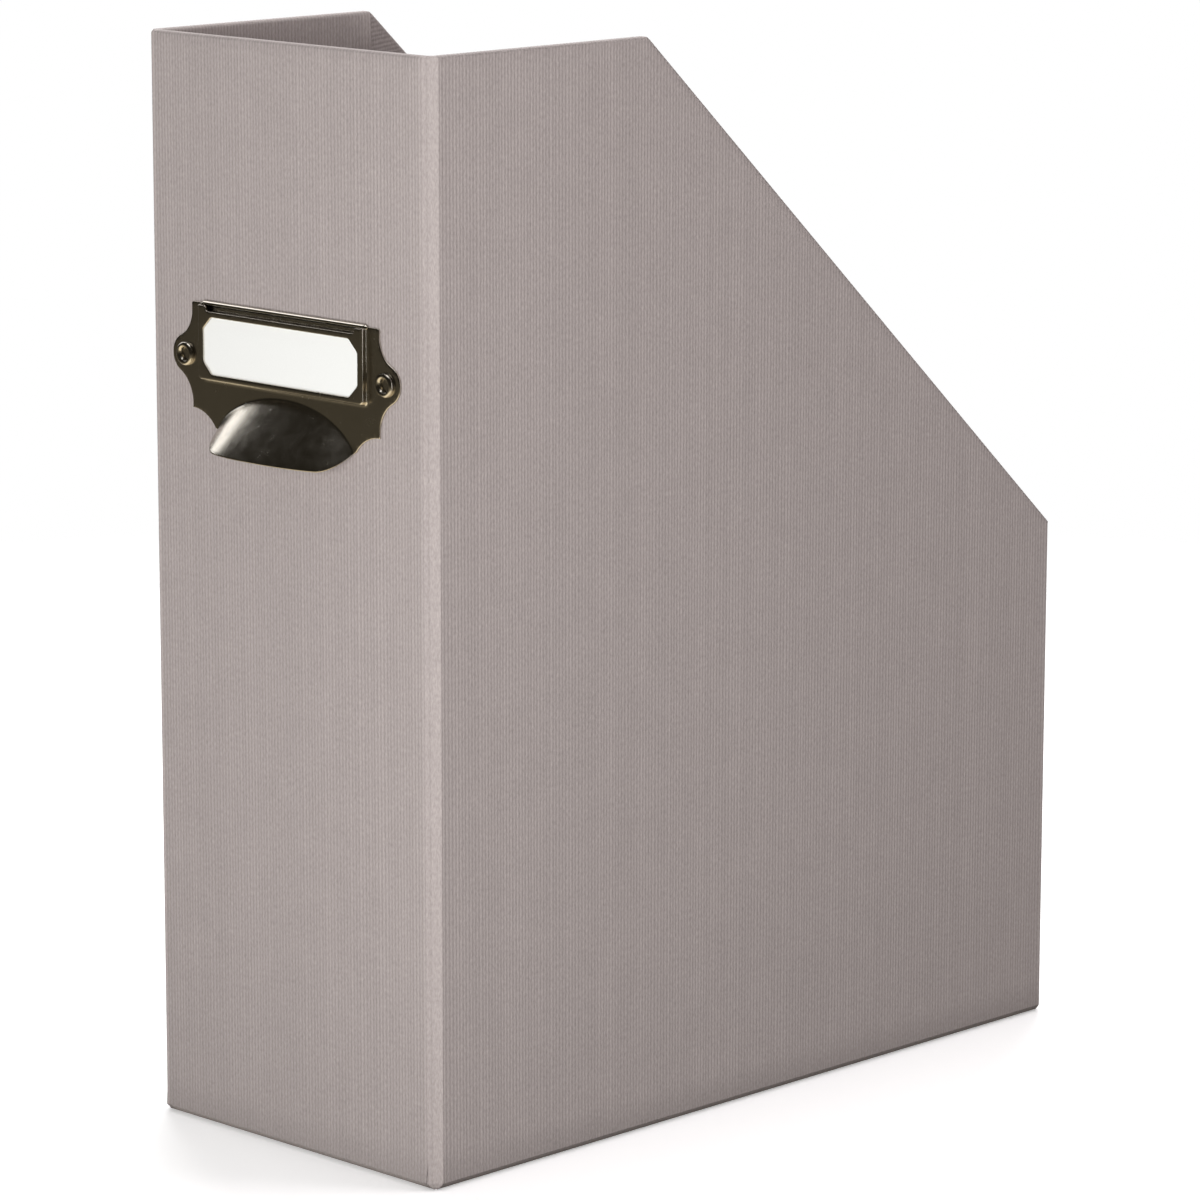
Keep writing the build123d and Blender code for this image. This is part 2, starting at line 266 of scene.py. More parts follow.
# painted light and shade of each row: lighter above 0, darker below
# painted shade under the base and on the foot's bevel, darkest where the bevel meets the wall
FOOT_PAINTED_SHADE = [-0.4, -0.4, -0.6, -0.5, -0.9, -0.1, 0, 0]
# painted shade on the outer rounding below each fold, and painted light along the fold's top
EDGE_PAINTED_LIGHT_AND_SHADE = [-0.2, -0.8, -0.3, 0.3, 0.4, 0.3, 0.3, 0.1, 0]
# painted light on the front's and back's foot bevel
FRONT_BEVEL_PAINTED_LIGHT = 0.5
ROW_PAINTED_LIGHT_AND_SHADE = FOOT_PAINTED_SHADE + EDGE_PAINTED_LIGHT_AND_SHADE + [0] * len(FLAP_STEPS)


def open_edge(y):
    """Fold line over column y: its point and outward direction as (y, z), turned over a short length."""
    blend = np.clip((y - SLANT_START) / CORNER_EASE + 0.5, 0, 1)
    turn = blend * math.atan(SLANT_RATE)
    out = np.array([math.sin(turn), math.cos(turn)])
    at = y + FOLD * out[0] * min(1, max(0, (HALF_DEPTH - y) / BACK_FADE))
    drop = CORNER_DROP * (1 - abs(2 * blend - 1))
    return np.array([at, slant_z(at) - drop]), out


def flap(y, level):
    """Way that the turned-in paper runs down the inner face as (y, z), and how far."""
    if level:
        return np.array([0, -1.0]), TURN_IN_WIDTH - FOLD
    run = np.array([0, 1]) - 2 * SLANT_OUT[1] * SLANT_OUT
    run_length = (TURN_IN_WIDTH - FOLD) / SLANT_OUT[1]
    return run, min(run_length, max(0.5, (y - SLANT_START + OVERLAP) / -run[0]))


def side_column(y, outer, squeeze):
    """Upright line of the right side's paper as (x, y, z) rows; squeeze moves its inner end along y."""
    r, section = turned_section(outer - INNER_X + TURN_IN)
    edge, out = open_edge(y)
    level = y < SLANT_START
    run, length = flap(y, level)
    foot = edge - r * out
    rows = [(outer, y, foot[1] - BELOW_FOLD)]
    for inward, up in section:
        place = edge + out * up
        share = inward / section[-1][0]
        rows.append((outer - inward, place[0] + squeeze * share, place[1]))
    lift = 0
    if level:
        lift = FLAP_LIFT * float(np.clip((y - SLANT_START + LIFT_LENGTH) / LIFT_LENGTH, 0, 1))
    for step in FLAP_STEPS:
        place = foot + run * (length * step)
        rows.append((INNER_X - TURN_IN - lift, place[0] + squeeze, place[1]))
    return rows


def cross_column(x, top, squeeze):
    """One upright line of the front's paper above its foot; the back's is its mirror image."""
    r, section = turned_section(WALL)
    rows = [(x, -HALF_DEPTH, top - r - BELOW_FOLD)]
    for inward, up in section:
        rows.append((x + squeeze * inward / WALL, inward - HALF_DEPTH, top + up))
    for step in FLAP_STEPS:
        rows.append((x + squeeze, WALL - HALF_DEPTH, top - r - step * (TURN_IN_WIDTH - r)))
    return rows


def strip_end(inward):
    """How far from the other wall's face a bevel strip ends, on a row that lies inward."""
    return max(BEVEL - STRIP_TAPER * inward, inward)


def near_end(place, end, reach=3.0):
    """1 at the end of a panel, falling to 0 at reach from it."""
    return max(0.0, 1 - abs(end - place) / reach)


def foot_rows(place, half, flat):
    """(along, inward, up) of a wall's column on the rows of its foot."""
    rows = []
    for inward, up, _ in FOOT_ROWS:
        if inward > BEVEL + 1:
            along = place * (half - inward) / flat
        else:
            pull = half - strip_end(inward) - flat
            along = place + math.copysign(near_end(abs(place), flat) * pull, place)
        rows.append((along, inward, UNDER + up))
    return rows


# columns of a bevel strip from the side round to the front or back: (share of its width, tone, sunk by);
# the tone is lighter, partly burnish and partly painted light, with painted shade in the crease at 0.70
STRIP = [
    (0, 0.8, 0),
    (0.08, 1.0, 0),
    (0.35, 0.95, 0),
    (0.62, 0.85, 0),
    (0.70, 0.35, 0.1),
    (0.78, 0.75, 0),
    (0.93, 0.85, 0),
    (1, 0.6, 0),
]


def front_corner_top(share, outer):
    """Rows of the front corner's strip above its foot, over the fold and down the inner corner."""
    turn = math.radians(90 * share)
    reach = TURN_IN + INNER_ROUND
    corner = np.array([INNER_X - reach, -(INNER_Y - reach)])
    inner = corner + INNER_ROUND * np.array([math.cos(turn), -math.sin(turn)])
    way = inner - outer
    wall = np.linalg.norm(way)
    r, section = turned_section(wall)
    rows = [(*outer, TOP - r - BELOW_FOLD)]
    rows += [(*(outer + way * inward / wall), TOP + up) for inward, up in section]
    rows += [(*inner, TOP - r - step * (TURN_IN_WIDTH - r)) for step in FLAP_STEPS]
    return rows


def corner_columns(front):
    """Columns of the right-hand bevel strip from the side round to the front, or to the back."""
    sign = -1 if front else 1
    columns = []
    for share, _, sunk in STRIP:
        rows = []
        for inward, up, _ in FOOT_ROWS:
            low = strip_end(inward)
            x_in = inward + share * (low - inward)
            y_in = low + share * (inward - low)
            rows.append((HALF_WIDTH - x_in, sign * (HALF_DEPTH - y_in), UNDER + up))
        outer = np.array([HALF_WIDTH - share * BEVEL, sign * (HALF_DEPTH - (1 - share) * BEVEL)])
        outer -= np.array([1, sign]) * sunk
        rows += front_corner_top(share, outer) if front else side_column(outer[1], outer[0], 0)
        columns.append(rows)
    return columns


def side_panel():
    """Columns of the right side from front to back, with each one's crest weight."""
    flat = HALF_DEPTH - BEVEL - PANEL_GAP
    places, crests = rib_columns(flat)
    columns = []
    for y in places:
        rows = [(HALF_WIDTH - q, along, z) for along, q, z in foot_rows(y, HALF_DEPTH, flat)]
        squeeze = SIDE_SQUEEZE * near_end(y, -flat)
        columns.append(rows + side_column(y, HALF_WIDTH, squeeze))
    return columns, crests


def cross_panel(top):
    """Columns of the front, from left to right, up to the given top."""
    flat = HALF_WIDTH - BEVEL - PANEL_GAP
    places, crests = rib_columns(flat)
    columns = []
    for x in places:
        rows = [(along, -HALF_DEPTH + q, z) for along, q, z in foot_rows(x, HALF_WIDTH, flat)]
        squeeze = -math.copysign(CROSS_SQUEEZE * near_end(abs(x), flat), x)
        columns.append(rows + cross_column(x, top, squeeze))
    return columns, crests


def mirrored(columns, axis):
    """Columns on the other side of the file, in the opposite order."""
    flip = np.ones(3)
    flip[axis] = -1
    return [np.array(c) * flip for c in reversed(columns)]


def outward_normals(grid):
    """Normal of each grid point from its neighbours up and across, pointing out of the boards."""
    across = np.roll(grid, -2, axis=1) - np.roll(grid, 2, axis=1)
    up = np.gradient(grid, axis=0)
    normal = np.cross(across, up)
    length = np.linalg.norm(normal, axis=2, keepdims=True)
    return normal / np.maximum(length, 1e-9)


def cover_grid():
    """Grid of the whole cover, its columns' crest weights and tones, and the seams inside it."""
    front, front_crests = cross_panel(TOP)
    back, back_crests = cross_panel(BACK_TOP)
    right, right_crests = side_panel()
    front_corner = corner_columns(True)
    back_corner = corner_columns(False)
    edge = front[-1][EDGE_ROW][0]
    # the front's columns beside a strip take on its lighter tone: burnish and painted light
    front_tones = [SOFT_BURNISH_AND_PAINTED_LIGHT * near_end(abs(c[EDGE_ROW][0]), edge, SOFT_EDGE) for c in front]
    plain = [0] * len(STRIP)
    strip = [tone for _, tone, _ in STRIP]
    panels = [
        (front, front_crests, front_tones),
        (front_corner[::-1], plain, strip[::-1]),
        (right, right_crests, [0] * len(right)),
        (back_corner, plain, strip),
        (mirrored(back, 1), back_crests[::-1], [0] * len(back)),
        (mirrored(back_corner, 0), plain, strip[::-1]),
        (mirrored(right, 0), right_crests[::-1], [0] * len(right)),
        (mirrored(front_corner[::-1], 0), plain, strip),
    ]
    split = sum(c[EDGE_ROW][1] < SLANT_START for c in right)
    starts = np.cumsum([0] + [len(columns) for columns, _, _ in panels])
    slant_seams = [starts[2] + split - 1, starts[7] - split - 1]
    back_seams = [starts[4] - 1, starts[5] - 1]
    grid = np.stack([np.array(c) for columns, _, _ in panels for c in columns], axis=1)
    crests = np.concatenate([crests for _, crests, _ in panels])
    tones = np.concatenate([tones for _, _, tones in panels])
    return grid, crests, tones, slant_seams, back_seams


def cover_sheet(material):
    """Ribbed cover, with plain bevel strips, folded over the open edges and down the inner faces."""
    grid, crests, tones, slant_seams, back_seams = cover_grid()
    rows, columns = grid.shape[:2]
    strength = np.array(STRENGTH)[:, None]
    plain = (tones > 0)[None, :]
    lift = -RIB_DEPTH * np.where(plain, PLAIN_SINK, 1 - crests[None, :]) * strength
    grid = grid + outward_normals(grid) * lift[..., None]
    # each row's painted light and shade, halved on the bevel strips, over each column's tone of burnish
    # and painted light
    tone = tones[None, :] + np.array(ROW_PAINTED_LIGHT_AND_SHADE)[:, None] * np.where(plain, 0.5, 1)
    # the front's and back's foot bevel is painted lighter, where the side's keeps its painted shade
    across = np.abs(grid[EDGE_ROW, :, 1]) > HALF_DEPTH - FOLD - 0.1
    tone[BEVEL_ROWS, across & ~plain[0]] = FRONT_BEVEL_PAINTED_LIGHT
    skip = [(seam, INSIDE_ROW) for seam in slant_seams]
    skip += [(seam, EDGE_ROW) for seam in back_seams]
    faces = grid_faces(rows, columns, closed=True, skip=skip)
    rib = (crests[None, :] * strength).ravel()
    points = grid.reshape(-1, 3)
    paper_piece("cover_wrap", points, faces, material, "cover_sheet", PAPER, rib, tone.ravel())


def slant_flap_end(material):
    """The last of the slant's turn-in at the inner back corner, on both sides."""
    run = np.array([0, 1]) - 2 * SLANT_OUT[1] * SLANT_OUT
    full = (TURN_IN_WIDTH - FOLD) / SLANT_OUT[1]
    back = INNER_Y - TURN_IN
    half = full * -run[0] / 2
    places, crests = rib_columns(half)
    points, ribs, faces = [], [], []
    for side in (1, -1):
        first = len(points)
        for step in (0, 1):
            for place, crest in zip(places, crests):
                y_fold = HALF_DEPTH + half + place
                begin = (y_fold - back) / -run[0]
                along = min(begin, full - 0.1) * (1 - step) + full * step
                y = y_fold + run[0] * along
                z = BACK_TOP + (HALF_DEPTH - y_fold) * SLANT_RATE + run[1] * along - FOLD
                x = INNER_X - TURN_IN + RIB_DEPTH * (1 - crest)
                points.append((side * x, min(y, back), z))
                ribs.append(crest)
        flat = grid_faces(2, len(places))
        faces += [tuple(first + k for k in (f if side > 0 else f[::-1])) for f in flat]
    paper_piece("cover_flap_ends", points, faces, material, "cover_sheet", PAPER / 2, ribs)


# --- Linings

BAND_FOOT = COVER + TURN_IN_WIDTH
LINING_TOP = COVER + LINING_SETBACK
STEP = 0.8


def lining(name, columns, material):
    """Lining sheet from upright columns of (x, y, z) rows, its ribs already in them."""
    places, crests = columns
    grid = np.stack([np.array(c) for c in places], axis=1)
    rows, count = grid.shape[:2]
    points, faces = grid.reshape(-1, 3), grid_faces(rows, count)
    thickness = LINING - RIB_DEPTH - 0.02
    paper_piece(name + "_ribbed", points, faces, material, name, thickness, np.tile(crests, rows))


def lining_rows(wall, foot, top, crest):
    """(outward, z) rows of a wall's lining; it steps over the turned-in band near the open edge."""
    low = wall - LINING + RIB_DEPTH * (1 - crest)
    high = low - TURN_IN
    return [(low, FLOOR + LINING), (low, foot - STEP), (high, foot + STEP / 2), (high, top)]


def side_lining(side):
    """Columns of a side's lining."""
    places, crests = rib_columns(INNER_Y - TURN_IN - LINING)
    columns = []
    for y, crest in zip(places, crests):
        rows = lining_rows(INNER_X, slant_z(y, BAND_FOOT), slant_z(y, LINING_TOP), crest)
        columns.append([(side * x, y, z) for x, z in rows])
    return columns[::-side], crests[::-side]


def cross_lining(end, wall_top):
    """Columns of the front's or back's lining."""
    places, crests = rib_columns(INNER_X - TURN_IN - LINING)
    columns = []
    for x, crest in zip(places, crests):
        rows = lining_rows(INNER_Y, wall_top - BAND_FOOT, wall_top - LINING_TOP, crest)
        columns.append([(end * x, end * y, z) for y, z in rows])
    return columns, crests


def base_lining():
    """Columns of the floor's lining, with its ribs from front to back."""
    depth = INNER_Y - LINING
    places, crests = rib_columns(INNER_X - LINING)
    columns = []
    for x, crest in zip(places, crests):
        z = FLOOR + LINING - RIB_DEPTH * (1 - crest)
        columns.append([(x, y, z) for y in np.linspace(-depth, depth, 3)])
    return columns, crests


# --- Label holder

SHEET = 0.8
FACE = -HALF_DEPTH  # the plate lies on the front of the cover
ROUND = 0.3  # rounding of the sheet's cut edges
PLATE_HALF = 38.3
PLATE_TOP = 240.2
PLATE_TIP = 0.8
PLATE_FOOT = 204.9
SCALLOP_RADIUS = 11.5
SCALLOP_Z = 198.4
EAR = 5.7  # radii of the rounded ear and of the hollows below and above it
WAIST = 10.0
NECK = 8.0
FRAME_HALF = 33.6
FRAME_FOOT = 218.8
FRAME_TOP = 239.8
FRAME_CORNER = 1.2
DIP_HALF = 30.3  # the cut-out at the top, where the card goes in
DIP = 238.2
WINDOW_HALF = 31.6
WINDOW_FOOT = 220.5
WINDOW_TOP = 236.6
WINDOW_CORNER = 3.5
WINDOW_EASE = 0.35
CUP_FOOT = plate_low[2]
CUP_PROUD = FACE - plate_low[1]
CUP_HALF = 28.3  # half width of the cup's foot
CUP_CORNER = 8.0
CUP_SPAN = 29.3  # half width of the whole hood
CUP_RISE = 16.4
CUP_FULLNESS = 2.3
CUP_SLOPE = 1.1  # 1 for a straight slope from the crease to the rim, more for a rounder one
CUP_BLEND = 0.3
CUP_EVEN = 26.6  # the drawing's places across the cup are evenly spaced up to here
CUP_SHARES = (0.03, 0.08, 0.15, 0.23, 0.32, 0.41, 0.5, 0.59, 0.68, 0.77, 0.86, 0.94)
CREASE_OFFSETS = (-0.25, -0.1, 0, 0.12, 0.25, 0.45, 0.8)
DRAWING_GAP = 1.5
BEAD = 0.68
BEAD_HALF = 32.6
BEAD_DROOP = 1.0
BEAD_TILT = math.radians(130)  # its flattened faces look half up
BEAD_REACH = 1.19 * BEAD
BEAD_END = 0.55  # the bead's end is drawn in to this share of its radius
CARD_CORNER = 0.8
CARD_EASE = 0.06
rivet_low, rivet_high = box_mm("rivet_right")
RIVET_X = (rivet_low[0] + rivet_high[0]) / 2
RIVET_Z = (rivet_low[2] + rivet_high[2]) / 2
RIVET_TAIL = rivet_high[1] - FACE
SHANK = 1.8
BORE = 1.25
RIVET_RIM = 3.4

# rise of the frame's wall against the distance outside its outline
WALL_PROFILE = [
    (1.3, 0),
    (0.95, 0),
    (0.55, 0.05),
    (0.3, 0.16),
    (0.15, 0.36),
    (0.08, 0.7),
    (0.04, 1.2),
    (0, 1.6),
    (-0.1, 1.82),
    (-0.25, 1.95),
    (-0.45, 2.0),
    (-0.8, 2.0),
]


def hollow(radius):
    """Centre of a hollow that joins the ear to the plate's edge, from the rivet, and its angle."""
    x = PLATE_HALF + radius - RIVET_X
    z = math.sqrt((EAR + radius) ** 2 - x**2)
    return x, z, math.degrees(math.atan2(z, x))


def plate_outline():
    """Right half of the plate's outline from the foot's middle up to the top's middle, as (x, z)."""
    points = [(0, CUP_FOOT)]
    corner_turn = math.asin((CUP_FOOT + CUP_CORNER - PLATE_FOOT) / CUP_CORNER)
    corner_x = CUP_HALF - CUP_CORNER * math.cos(corner_turn)
    points += arc((corner_x, CUP_FOOT + CUP_CORNER), CUP_CORNER, -90, -math.degrees(corner_turn), 12)
    lean = math.degrees(math.acos((PLATE_FOOT - SCALLOP_Z) / SCALLOP_RADIUS))
    points += arc((PLATE_HALF, SCALLOP_Z), SCALLOP_RADIUS, 90 + lean, 90, 20)
    waist_x, waist_z, waist_turn = hollow(WAIST)
    points += arc((RIVET_X + waist_x, RIVET_Z - waist_z), WAIST, 180, 180 - waist_turn, 16)
    neck_x, neck_z, neck_turn = hollow(NECK)
    points += arc((RIVET_X, RIVET_Z), EAR, -waist_turn, neck_turn, 30)[1:-1]
    points += arc((RIVET_X + neck_x, RIVET_Z + neck_z), NECK, 180 + neck_turn, 180, 14)
    points += arc((PLATE_HALF - PLATE_TIP, PLATE_TOP - PLATE_TIP), PLATE_TIP, 0, 90, 5)
    points += [(FRAME_HALF + 0.5, PLATE_TOP), (FRAME_HALF - 0.2, FRAME_TOP)]
    points += [(DIP_HALF + 0.6, FRAME_TOP), (DIP_HALF + 0.2, FRAME_TOP - 0.3)]
    points += [(DIP_HALF, DIP + 0.4), (DIP_HALF - 0.3, DIP + 0.08), (DIP_HALF - 0.8, DIP), (0, DIP)]
    return points


def closed_loop(half):
    """Whole outline from its right half, anticlockwise as seen from the front."""
    left = [(-x, z) for x, z in reversed(half)][1:-1]
    return np.array(half + left)


def spaced(line, gap, closed=True):
    """A line with its long stretches cut up, so that no edge is longer than gap."""
    line = np.array(line)
    ends = np.roll(line, -1, axis=0)
    if not closed:
        ends = line[1:]
    points = []
    for start, end in zip(line, ends):
        steps = max(1, math.ceil(np.linalg.norm(end - start) / gap))
        points += [start + (end - start) * k / steps for k in range(steps)]
    return np.array(points if closed else points + [line[-1]])


def unit(ways):
    """Rows of directions, each at length 1."""
    return ways / np.linalg.norm(ways, axis=1)[:, None]


def drawn_in(loop, amount):
    """A loop moved towards its left by amount, which is inwards for an anticlockwise one."""
    before = loop - np.roll(loop, 1, axis=0)
    after = np.roll(loop, -1, axis=0) - loop
    way = unit(before) + unit(after)
    return loop + unit(np.stack([-way[:, 1], way[:, 0]], axis=1)) * amount


def window_loop():
    """Eight-sided window, its corners slightly eased."""
    c = WINDOW_CORNER
    half = [(WINDOW_HALF - c, WINDOW_FOOT), (WINDOW_HALF, WINDOW_FOOT + c)]
    half += [(WINDOW_HALF, WINDOW_TOP - c), (WINDOW_HALF - c, WINDOW_TOP)]
    corners = np.array(half + [(-x, z) for x, z in reversed(half)])
    onward = unit(np.roll(corners, -1, axis=0) - corners) * WINDOW_EASE
    before = np.roll(onward, 1, axis=0)
    return np.stack([corners - before, corners + onward], axis=1).reshape(-1, 2)


def frame_distance(x, z):
    """Distance outside the frame's outline, which is open at its top."""
    dx = np.abs(x) - (FRAME_HALF - FRAME_CORNER)
    dz = (FRAME_FOOT + FRAME_CORNER) - z
    beyond = np.hypot(np.maximum(dx, 0), np.maximum(dz, 0))
    return beyond + np.minimum(np.maximum(dx, dz), 0) - FRAME_CORNER


def cup_rim(x):
    """How far the cup's lower rim stands proud, at each place across."""
    share = np.minimum(np.abs(x) / CUP_SPAN, 1)
    return SHEET + (CUP_PROUD - SHEET) * (1 - share**CUP_FULLNESS) ** (1 / CUP_FULLNESS)


def cup_height(x):
    """Height of the cup's crease above its foot, at each place across."""
    share = np.minimum(np.abs(x) / CUP_SPAN, 1)
    return CUP_RISE * np.sqrt(1 - share**2)


def proud(x, z):
    """How far the front of the pressing stands off the cover."""
    distances, rises = zip(*reversed(WALL_PROFILE))
    frame_rise = np.interp(frame_distance(x, z), distances, rises)
    climb = np.maximum(z - CUP_FOOT, 0) / np.maximum(cup_height(x), 0.01)
    dome = SHEET + (cup_rim(x) - SHEET) * np.maximum(1 - climb**CUP_SLOPE, -1)
    dome = np.where(np.abs(x) < CUP_SPAN, dome, 0)
    flat = SHEET + frame_rise
    gap = np.maximum(CUP_BLEND - np.abs(dome - flat), 0) / CUP_BLEND
    return np.maximum(dome, flat) + gap**2 * CUP_BLEND / 4


def frame_contour(distance):
    """Line at one distance outside the frame's outline, as points from right top to left top."""
    corner = max(FRAME_CORNER + distance, 0.25)
    x, z = FRAME_HALF + distance - corner, FRAME_FOOT - distance + corner
    bend = arc((x, z), corner, 0, -90, 6)
    right = [(FRAME_HALF + distance, PLATE_TOP + 1)] + bend
    return right + [(-px, pz) for px, pz in reversed(right)]


def cup_places(gap):
    """Places across the cup, closer together towards its ends."""
    ends = CUP_SPAN - np.array([1.6, 1.1, 0.7, 0.4, 0.2])
    return np.concatenate([-ends[::-1], np.arange(-CUP_EVEN, CUP_EVEN + 0.1, gap), ends])


def cup_points():
    """Points over the dome, close together towards its crease."""
    return [(x, CUP_FOOT + float(cup_height(x)) * s) for x in cup_places(0.7) for s in CUP_SHARES]


def crease_line(offset):
    """Line along the cup's crease, moved up the plate by offset."""
    return [(x, CUP_FOOT + float(cup_height(x)) + offset) for x in cup_places(0.6)]


def inside_loop(points, loop):
    """Which points lie inside a closed loop."""
    x, z = points[:, 0][:, None], points[:, 1][:, None]
    ax, az = loop[:, 0][None], loop[:, 1][None]
    bx, bz = np.roll(loop[:, 0], -1)[None], np.roll(loop[:, 1], -1)[None]
    crosses = (az > z) != (bz > z)
    slope = (bx - ax) / np.where(bz == az, 1e-12, bz - az)
    return (crosses & (x < ax + slope * (z - az))).sum(axis=1) % 2 == 1


def loose_points():
    """Points between the lines: an even grid on the flat parts, and closer ones on the cup."""
    across = np.arange(-PLATE_HALF - 8, PLATE_HALF + 8, DRAWING_GAP)
    up = np.arange(CUP_FOOT, PLATE_TOP, DRAWING_GAP)
    grid = np.array([(x, z) for x in across for z in up])
    x, z = grid[:, 0], grid[:, 1]
    clear = (frame_distance(x, z) > 1.6) & (proud(x, z) < SHEET + 0.02)
    return [*grid[clear], *cup_points()]


def flat_pattern():
    """Triangles of the pressing seen from the front, as 2D points and faces."""
    outline = drawn_in(spaced(closed_loop(plate_outline()), 0.7), ROUND)
    window = drawn_in(spaced(window_loop(), 0.8), -ROUND)
    lines = [(outline, True), (window, True)]
    lines += [(spaced(frame_contour(distance), 0.9, False), False) for distance, _ in WALL_PROFILE]
    lines += [(crease_line(offset), False) for offset in CREASE_OFFSETS]
    points, edges = [], []
    for line, closed in lines:
        first, count = len(points), len(line)
        points += line_vectors(line)
        edges += [(first + k, first + (k + 1) % count) for k in range(count if closed else count - 1)]
    points += line_vectors(loose_points())
    made = delaunay_2d_cdt(points, edges, [], 0, 1e-5)
    flat = np.array([tuple(v) for v in made[0]])
    faces = np.array(made[2])
    middle = flat[faces].mean(axis=1)
    kept = inside_loop(middle, outline) & ~inside_loop(middle, window)
    used, packed = np.unique(faces[kept], return_inverse=True)
    return flat[used], packed.reshape(-1, 3)


def line_vectors(line):
    return [Vector(map(float, p)) for p in line]


def vertex_normals(points, faces):
    """Area-weighted normal at each vertex."""
    a, b, c = (points[faces[:, k]] for k in range(3))
    face_normals = np.cross(b - a, c - a)
    normals = np.zeros_like(points)
    for k in range(3):
        np.add.at(normals, faces[:, k], face_normals)
    return unit(normals)


def border_edges(faces):
    """Directed edges that only one triangle uses."""
    seen = {edge: True for a, b, c in faces.tolist() for edge in ((a, b), (b, c), (c, a))}
    return [(a, b) for a, b in seen if (b, a) not in seen]


def rim_ways(front, normals, border):
    """Vertices on the border, and the way out of the sheet at each."""
    out = np.zeros_like(front)
    for i, j in border:
        side = np.cross(front[j] - front[i], (normals[i] + normals[j]) / 2)
        for k in (i, j):
            out[k] += side / max(np.linalg.norm(side), 1e-9)
    rim = sorted({i for edge in border for i in edge})
    return rim, unit(out[rim])


def rim_section():
    """(depth behind the front, reach outwards) of each layer round the cut edge."""
    turned = [(ROUND - ROUND * math.cos(t), ROUND * math.sin(t)) for t in np.radians([30, 60, 90])]
    return turned + [(SHEET - depth, reach) for depth, reach in reversed(turned)]


def pressed_sheet():
    """Points and faces of the pressing: a front, a back one sheet behind it, and rounded cut edges."""
    flat, faces = flat_pattern()
    x, z = flat[:, 0], flat[:, 1]
    front = np.stack([x, FACE - proud(x, z), z], axis=1)
    a, b, c = (front[faces[:, k]] for k in range(3))
    if np.cross(b - a, c - a)[:, 1].sum() > 0:
        faces = faces[:, ::-1]
    normals = vertex_normals(front, faces)
    border = border_edges(faces)
    rim, out = rim_ways(front, normals, border)
    layers = [front[rim] + out * reach - normals[rim] * depth for depth, reach in rim_section()]
    points = np.concatenate([front, *layers, front - normals * SHEET])
    count = len(front)
    back = len(points) - count
    place = np.zeros(count, int)
    place[rim] = np.arange(len(rim))
    levels = [np.arange(count)]
    levels += [count + len(rim) * k + place for k in range(len(layers))]
    levels += [back + np.arange(count)]
    all_faces = [tuple(f) for f in faces.tolist()]
    all_faces += [tuple(back + v for v in reversed(f)) for f in faces.tolist()]
    for lower, upper in zip(levels[:-1], levels[1:]):
        all_faces += [(lower[j], lower[i], upper[i], upper[j]) for i, j in border]
    return points, all_faces


def bead_bar(path, radii, segments=24):
    """Points and faces of a bar along a path, with a squared section, closed at its ends."""
    path = np.array(path, float)
    side = np.array([0, 1.0, 0])
    points = []
    for place, way, radius in zip(path, unit(np.gradient(path, axis=0)), radii):
        across = np.cross(way, side)
        for a in np.arange(segments) * 2 * math.pi / segments:
            square = (math.cos(a) ** 4 + math.sin(a) ** 4) ** -0.25
            turned = a + BEAD_TILT
            points.append(place + radius * square * (math.cos(turned) * side + math.sin(turned) * across))
    return points, ring_faces(len(path), segments)


def bead_path():
    """Line of the rolled bead from end to end, its ends turned down beside the frame."""
    z = plate_high[2] - BEAD_REACH
    y = FACE - BEAD_REACH - 0.05
    bend = arc((BEAD_HALF, z - BEAD_DROOP), BEAD_DROOP, 90, 20, 6)
    right = [(x, y, h) for x, h in bend]
    left = [(-x, y, h) for x, y, h in reversed(right)]
    return left + [(0, y, z)] + right


def slab(loop, back, thickness, ease):
    """Points and faces of a flat plate with eased edges, its back at a given stand-off."""
    layers = [(ease, 0), (0, ease), (0, thickness - ease), (ease, thickness)]
    points = [(x, FACE - back - up, z) for inset, up in layers for x, z in drawn_in(loop, inset)]
    return points, ring_faces(len(layers), len(loop))


def rounded_rectangle(half, foot, top, radius, steps=6):
    """Rectangle with rounded corners as (x, z), anticlockwise from the front."""
    right, left, low, high = half - radius, radius - half, foot + radius, top - radius
    loop = arc((right, low), radius, -90, 0, steps) + arc((right, high), radius, 0, 90, steps)
    loop += arc((left, high), radius, 90, 180, steps) + arc((left, low), radius, 180, 270, steps)
    return np.array(loop)


def joined(*parts):
    """Several meshes' points and faces as one."""
    points, faces = [], []
    for part_points, part_faces in parts:
        first = len(points)
        points += [tuple(p) for p in part_points]
        faces += [tuple(first + v for v in f) for f in part_faces]
    return points, faces


def label_holder(material):
    """The pressing, the plate behind its pocket, and the bead along the top."""
    pocket = rounded_rectangle(FRAME_HALF, FRAME_FOOT + 0.6, PLATE_TOP - 0.1, 0.4)
    pocket_back = slab(pocket, 0.02, SHEET - 0.04, 0.1)
    path = bead_path()
    radii = [BEAD * (BEAD_END if k in (0, len(path) - 1) else 1) for k in range(len(path))]
    bead = bead_bar(path, radii)
    points, faces = joined(pressed_sheet(), pocket_back, bead)
    polish = np.zeros(len(points))
    polish[-len(bead[0]) :] = 1
    name, slot, node = "label_holder_pressed", "polished_nickel", "label_holder"
    flat_areas_first(new_piece(name, points, faces, material, slot, node, polish=polish))


def flat_areas_first(piece):
    """Shades large flat faces as flat, and puts the turn of the light on the narrow ones."""
    weighted = piece.modifiers.new("shading", "WEIGHTED_NORMAL")
    weighted.mode = "FACE_AREA"
    weighted.weight = 80
    weighted.keep_sharp = False


